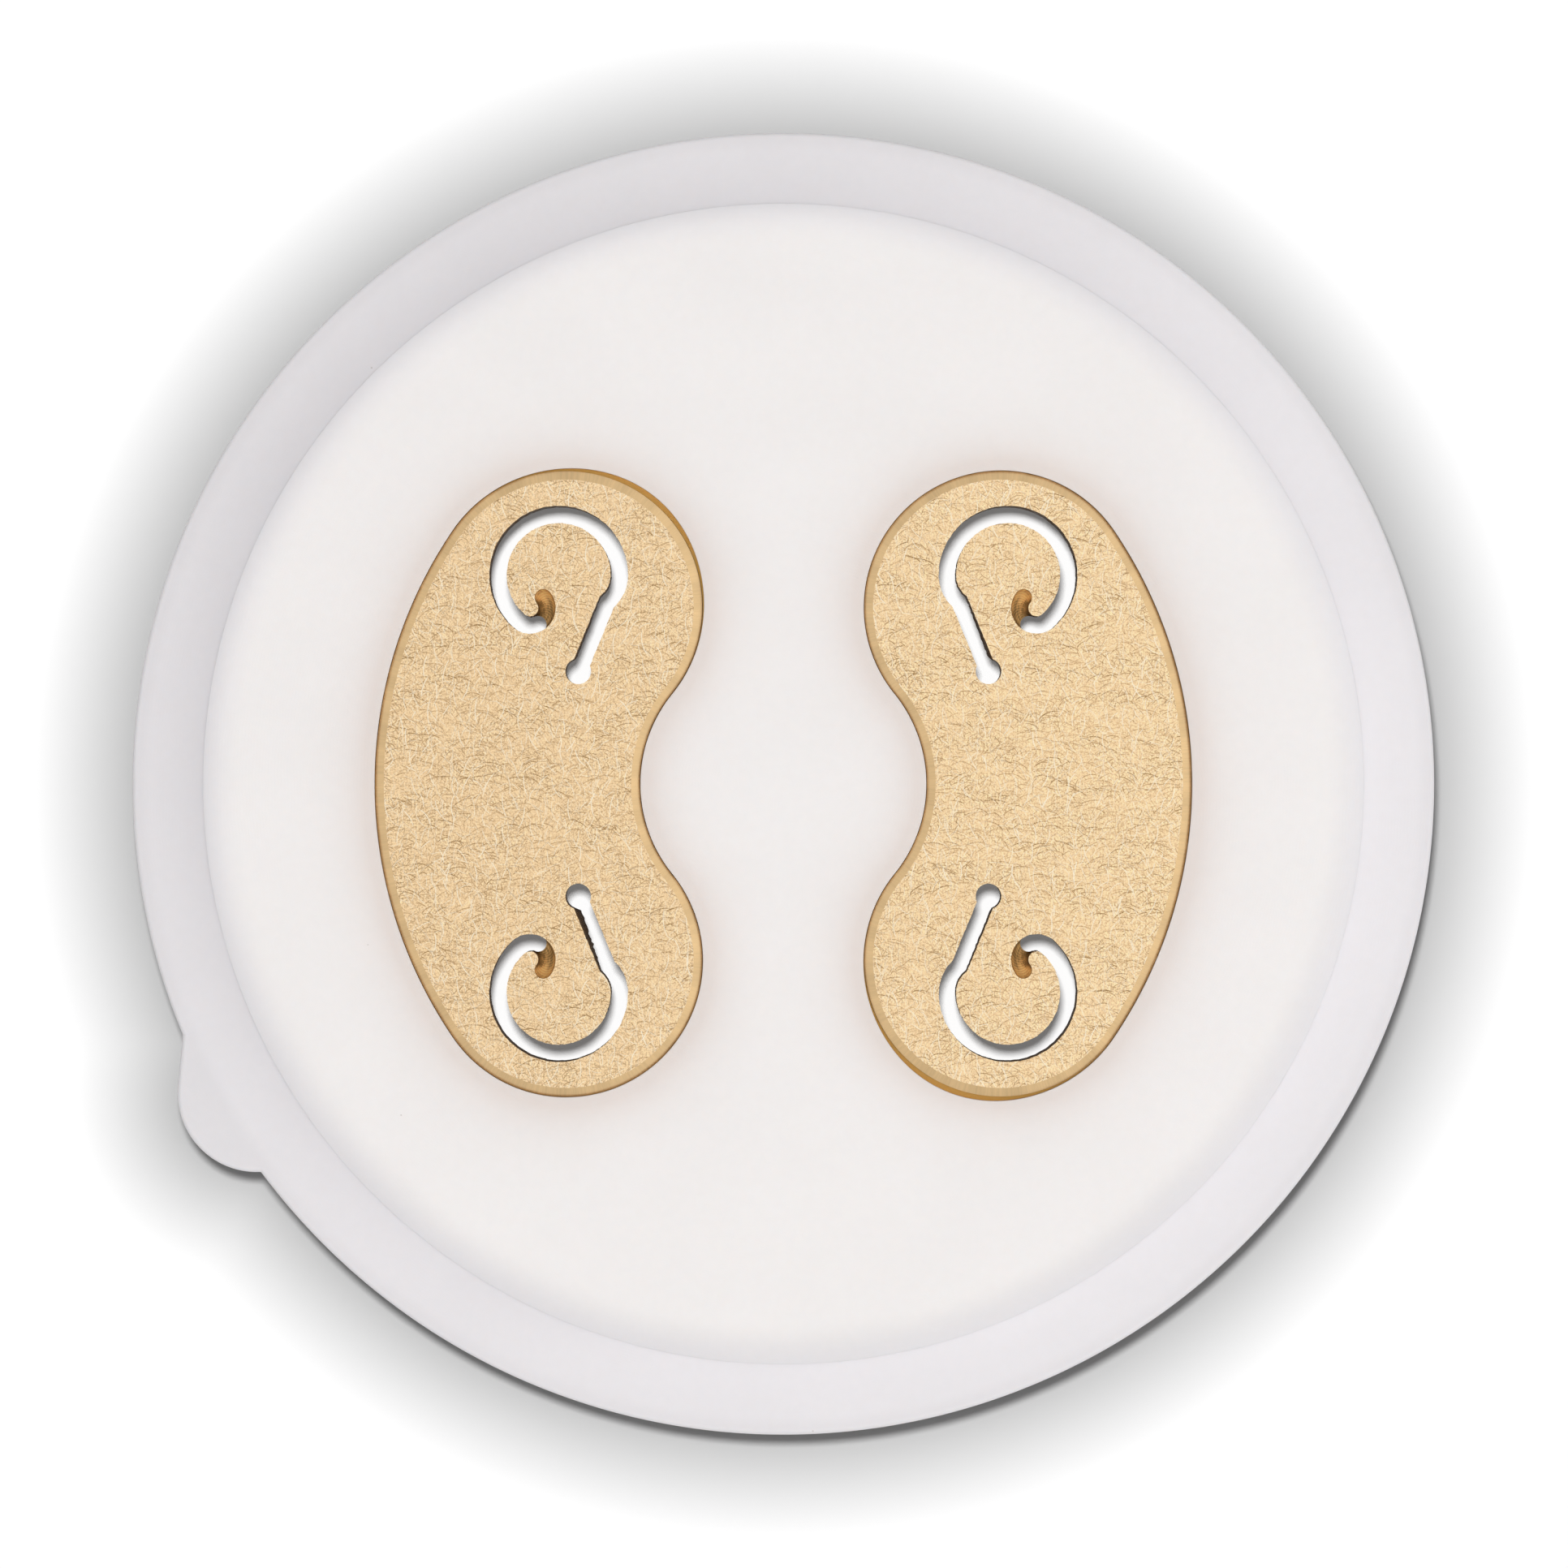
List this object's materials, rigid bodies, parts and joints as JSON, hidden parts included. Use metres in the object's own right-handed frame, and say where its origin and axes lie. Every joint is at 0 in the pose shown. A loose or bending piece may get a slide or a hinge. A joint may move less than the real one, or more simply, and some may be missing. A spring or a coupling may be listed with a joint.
{
  "type": "pasta extrusion die",
  "caption": "Round stepped acetal disc with a rim tab, holding kidney-shaped brass inserts whose thin hooked slots shape extruded dough.",
  "frame": {"origin": "centre of the rear face of the spigot, on the axis of the disc", "axes": "+Z along the axis towards the front (outlet) face, +X through the middle of the right insert, +Y towards the end that is up when the die is seen from the front"},
  "size_m": [0.0908, 0.0908, 0.018],
  "materials": {
    "acetal": "fine turned and milled surface, slightly translucent, satin",
    "brass": "sanded face with short curved scratches, milled edges"
  },
  "bodies": {
    "root": {"die_body": "acetal", "left_insert": "brass", "right_insert": "brass"}
  },
  "joints": []
}
